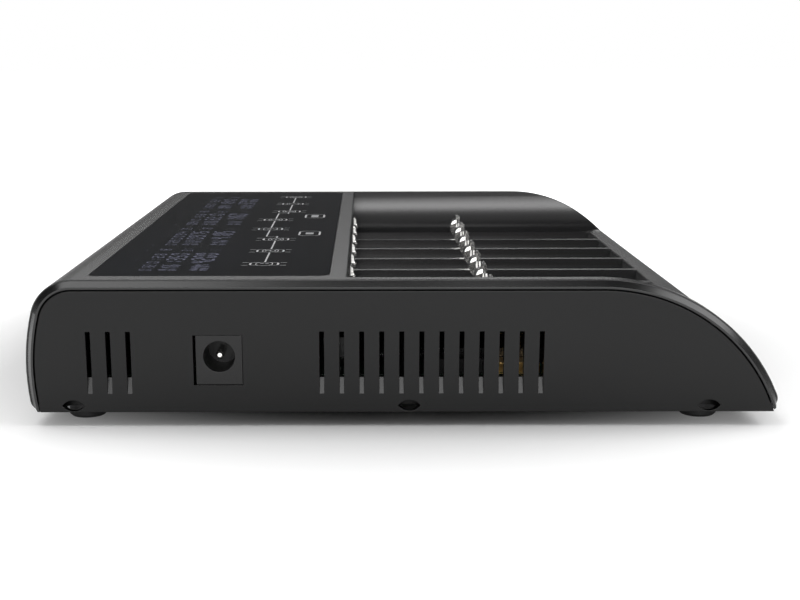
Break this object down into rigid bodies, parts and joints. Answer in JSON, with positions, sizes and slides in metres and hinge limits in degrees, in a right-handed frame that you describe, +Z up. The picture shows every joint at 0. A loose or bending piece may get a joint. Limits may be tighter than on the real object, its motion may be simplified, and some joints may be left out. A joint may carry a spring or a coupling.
{
  "type": "battery charger",
  "caption": "Low black desktop charger for cylindrical cells: display glass on one side, open slots with sprung sliding contacts and a sloping nose on the other.",
  "frame": {"origin": "middle of the footprint, on the plane that the feet stand on", "axes": "+X along the cells from the display end to the nose, +Y across the slots, away from the side with the inlet, +Z up"},
  "size_m": [0.1722, 0.196, 0.0338],
  "materials": {
    "cover": "satin black moulded plastic",
    "tray": "fine matte black moulded plastic",
    "glass": "gloss black display glass",
    "lcd": "dark display module",
    "circuit_board": "green solder mask",
    "screw_steel": "zinc-plated steel",
    "flex": "amber film",
    "connector": "ivory moulded plastic",
    "jack_body": "black moulded plastic",
    "contact": "bright nickel plate",
    "capacitor": "sleeved can",
    "inductor": "brass-coloured winding",
    "chip": "moulded epoxy",
    "foot": "matte black rubber",
    "shoe": "black acetal",
    "spring": "drawn spring wire"
  },
  "bodies": {
    "housing": {"top_cover": "cover", "base_tray": "tray", "display_glass": "glass", "lcd_module": "lcd", "display_board": "circuit_board", "display_screws": "screw_steel", "flex_cable": "flex", "flex_connectors": "connector", "main_board": "circuit_board", "board_screws": "screw_steel", "dc_jack": "jack_body", "dc_jack_pin": "contact", "capacitors": "capacitor", "inductors": "inductor", "transistors": "chip", "control_chip": "chip", "cover_screws": "screw_steel", "rubber_foot_1": "foot", "rubber_foot_2": "foot", "rubber_foot_3": "foot", "rubber_foot_4": "foot", "positive_contact_1": "contact", "positive_contact_2": "contact", "positive_contact_3": "contact", "positive_contact_4": "contact", "positive_contact_5": "contact", "positive_contact_6": "contact", "positive_contact_7": "contact", "positive_contact_8": "contact", "slider_spring_1": "spring", "slider_spring_2": "spring", "slider_spring_3": "spring", "slider_spring_4": "spring", "slider_spring_5": "spring", "slider_spring_6": "spring", "slider_spring_7": "spring", "slider_spring_8": "spring"},
    "slider_1": {"negative_contact_1": "contact", "slider_shoe_1": "shoe"},
    "slider_2": {"negative_contact_2": "contact", "slider_shoe_2": "shoe"},
    "slider_3": {"negative_contact_3": "contact", "slider_shoe_3": "shoe"},
    "slider_4": {"negative_contact_4": "contact", "slider_shoe_4": "shoe"},
    "slider_5": {"negative_contact_5": "contact", "slider_shoe_5": "shoe"},
    "slider_6": {"negative_contact_6": "contact", "slider_shoe_6": "shoe"},
    "slider_7": {"negative_contact_7": "contact", "slider_shoe_7": "shoe"},
    "slider_8": {"negative_contact_8": "contact", "slider_shoe_8": "shoe"}
  },
  "joints": [
    {"name": "slider_1_slide", "type": "slide", "parent": "housing", "child": "slider_1", "axis": [1, 0, 0], "range_m": [0, 0.043], "stiffness_N_per_m": 50, "springref_m": -0.025, "deforming": ["slider_spring_1"]},
    {"name": "slider_2_slide", "type": "slide", "parent": "housing", "child": "slider_2", "axis": [1, 0, 0], "range_m": [0, 0.043], "stiffness_N_per_m": 50, "springref_m": -0.025, "deforming": ["slider_spring_2"]},
    {"name": "slider_3_slide", "type": "slide", "parent": "housing", "child": "slider_3", "axis": [1, 0, 0], "range_m": [0, 0.043], "stiffness_N_per_m": 50, "springref_m": -0.025, "deforming": ["slider_spring_3"]},
    {"name": "slider_4_slide", "type": "slide", "parent": "housing", "child": "slider_4", "axis": [1, 0, 0], "range_m": [0, 0.043], "stiffness_N_per_m": 50, "springref_m": -0.025, "deforming": ["slider_spring_4"]},
    {"name": "slider_5_slide", "type": "slide", "parent": "housing", "child": "slider_5", "axis": [1, 0, 0], "range_m": [0, 0.043], "stiffness_N_per_m": 50, "springref_m": -0.025, "deforming": ["slider_spring_5"]},
    {"name": "slider_6_slide", "type": "slide", "parent": "housing", "child": "slider_6", "axis": [1, 0, 0], "range_m": [0, 0.043], "stiffness_N_per_m": 50, "springref_m": -0.025, "deforming": ["slider_spring_6"]},
    {"name": "slider_7_slide", "type": "slide", "parent": "housing", "child": "slider_7", "axis": [1, 0, 0], "range_m": [0, 0.043], "stiffness_N_per_m": 50, "springref_m": -0.025, "deforming": ["slider_spring_7"]},
    {"name": "slider_8_slide", "type": "slide", "parent": "housing", "child": "slider_8", "axis": [1, 0, 0], "range_m": [0, 0.043], "stiffness_N_per_m": 50, "springref_m": -0.025, "deforming": ["slider_spring_8"]}
  ]
}
